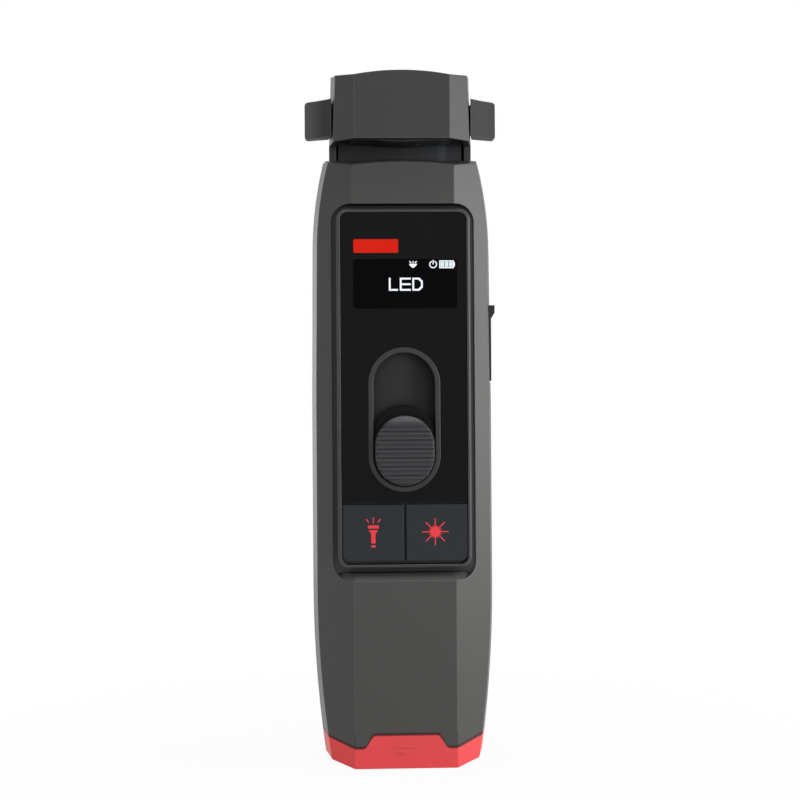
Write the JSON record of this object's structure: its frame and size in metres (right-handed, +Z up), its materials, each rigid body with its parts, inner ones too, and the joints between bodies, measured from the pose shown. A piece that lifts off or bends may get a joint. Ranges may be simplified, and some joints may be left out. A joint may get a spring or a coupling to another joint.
{
  "type": "optical fibre identifier",
  "caption": "Hand-held optical fibre identifier with a side-loading fibre slot, sliding light shield, thumb slider clamp, display, push buttons and a red battery cover.",
  "frame": {"origin": "middle of the flat base that the instrument stands on", "axes": "+Z up along the instrument to its head, the control panel faces -Y, +X to the user's right"},
  "size_m": [0.0552, 0.0377, 0.197],
  "materials": {
    "housing_grey": "fine spark texture, satin",
    "lining_black": "plain moulded",
    "bezel_grey": "satin, bright bevel",
    "window_black": "gloss sheet",
    "display_glass": "dark display glass",
    "ring_grey": "satin",
    "knob_grey": "fine texture",
    "key_grey": "matte coating",
    "flap_rubber": "matte",
    "base_red": "fine texture, satin",
    "board_green": "solder mask",
    "part_black": "moulded",
    "steel": "plated",
    "can_metal": "gilt can",
    "laser_brass": "turned",
    "ferrule_metal": "turned",
    "lamp_clear": "clear",
    "cell_jacket": "printed jacket",
    "contact_brass": "plated"
  },
  "bodies": {
    "housing": {"front_housing": "housing_grey", "rear_housing": "housing_grey", "head_cover": "housing_grey", "slot_liner": "lining_black", "anvil_block": "lining_black", "rod_guide": "lining_black", "battery_tray": "lining_black", "panel_bezel": "bezel_grey", "front_window": "window_black", "display_module": "display_glass", "slider_ring": "ring_grey", "main_pcb": "board_green", "key_board": "board_green", "lamp_board": "board_green", "flashlight_switch": "part_black", "laser_switch": "part_black", "buzzer": "part_black", "pcb_screws": "steel", "case_screws": "steel", "head_screws": "steel", "detector_left": "can_metal", "detector_right": "can_metal", "laser_module": "laser_brass", "port_ferrule": "ferrule_metal", "head_lamp": "lamp_clear", "lamp_lens": "lamp_clear", "battery_left": "cell_jacket", "battery_right": "cell_jacket", "tray_contacts": "contact_brass"},
    "slider": {"thumb_slider": "knob_grey", "dust_shutter": "lining_black", "slider_carriage": "lining_black", "carriage_screws": "steel", "plunger_rod": "steel", "clamp_jaw": "lining_black", "return_spring": "steel"},
    "shield": {"light_shield": "housing_grey"},
    "flashlight_key": {"flashlight_button": "key_grey"},
    "laser_key": {"laser_button": "key_grey"},
    "base": {"battery_cover": "base_red", "contact_bridge": "contact_brass", "contact_springs": "steel"},
    "flap": {"port_cover": "flap_rubber"}
  },
  "joints": [
    {"name": "slider_slide", "type": "slide", "parent": "housing", "child": "slider", "axis": [0, 0, 1], "range_m": [0, 0.0143], "stiffness_N_per_m": 120, "springref_m": -0.01, "deforming": ["return_spring"]},
    {"name": "shield_slide", "type": "slide", "parent": "housing", "child": "shield", "axis": [0, 0, -1], "range_m": [0, 0.004]},
    {"name": "flashlight_press", "type": "slide", "parent": "housing", "child": "flashlight_key", "axis": [0, 1, 0], "range_m": [0, 0.0007], "stiffness_N_per_m": 2000},
    {"name": "laser_press", "type": "slide", "parent": "housing", "child": "laser_key", "axis": [0, 1, 0], "range_m": [0, 0.0007], "stiffness_N_per_m": 2000},
    {"name": "base_slide", "type": "slide", "parent": "housing", "child": "base", "axis": [0, 0, -1], "range_m": [0, 0.015]},
    {"name": "flap_hinge", "type": "hinge", "parent": "housing", "child": "flap", "pos_m": [0.02525, 0, 0.10905], "axis": [0, 1, 0], "range_deg": [0, 90], "stiffness_Nm_per_rad": 0.01}
  ]
}
